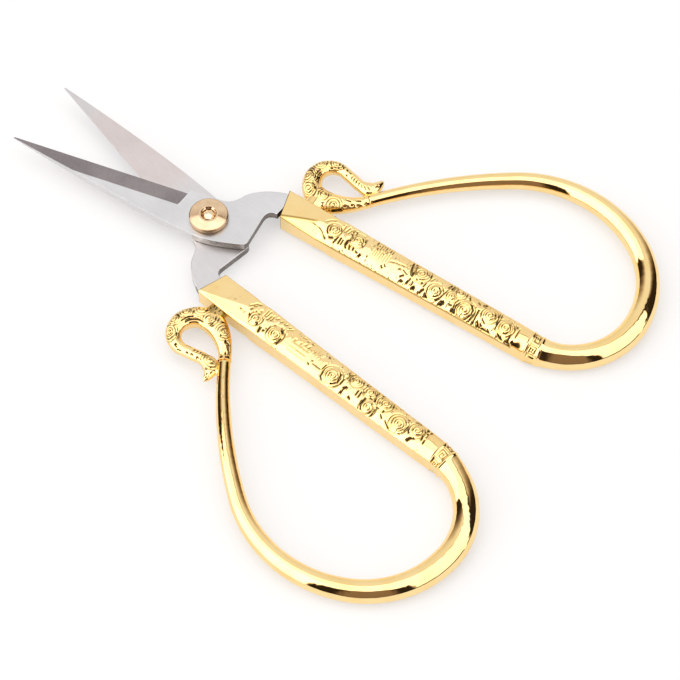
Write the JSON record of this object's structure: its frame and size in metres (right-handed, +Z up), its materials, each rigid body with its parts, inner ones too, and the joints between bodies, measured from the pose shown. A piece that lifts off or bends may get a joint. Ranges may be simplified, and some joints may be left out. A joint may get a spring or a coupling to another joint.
{
  "type": "embroidery scissors",
  "caption": "Part-open embroidery scissors with short pointed steel blades, a brass riveted pivot, and gilt cast handles with relief shanks, wide finger loops and scroll ends.",
  "frame": {"origin": "on the pivot axis, at the flat underside of the rivet", "axes": "+X from the pivot to the blade tips along the scissors' long axis, +Z up along the pivot axis, +Y to the side of the lower half's handle"},
  "size_m": [0.1552, 0.1268, 0.0084],
  "materials": {
    "blade_steel": "satin ground steel, darker cross-ground bevel along the edge",
    "gilt_casting": "polished gilt plating on a zinc casting",
    "pivot_brass": "turned and polished brass"
  },
  "bodies": {
    "lower_half": {"lower_blade": "blade_steel", "lower_handle": "gilt_casting", "pivot_rivet": "pivot_brass", "upper_washer": "pivot_brass", "lower_washer": "pivot_brass"},
    "upper_half": {"upper_blade": "blade_steel", "upper_handle": "gilt_casting"}
  },
  "joints": [
    {"name": "blade_pivot", "type": "hinge", "parent": "lower_half", "child": "upper_half", "pos_m": [0, 0, 0], "axis": [0, 0, 1], "range_deg": [-20.2, 70]}
  ]
}
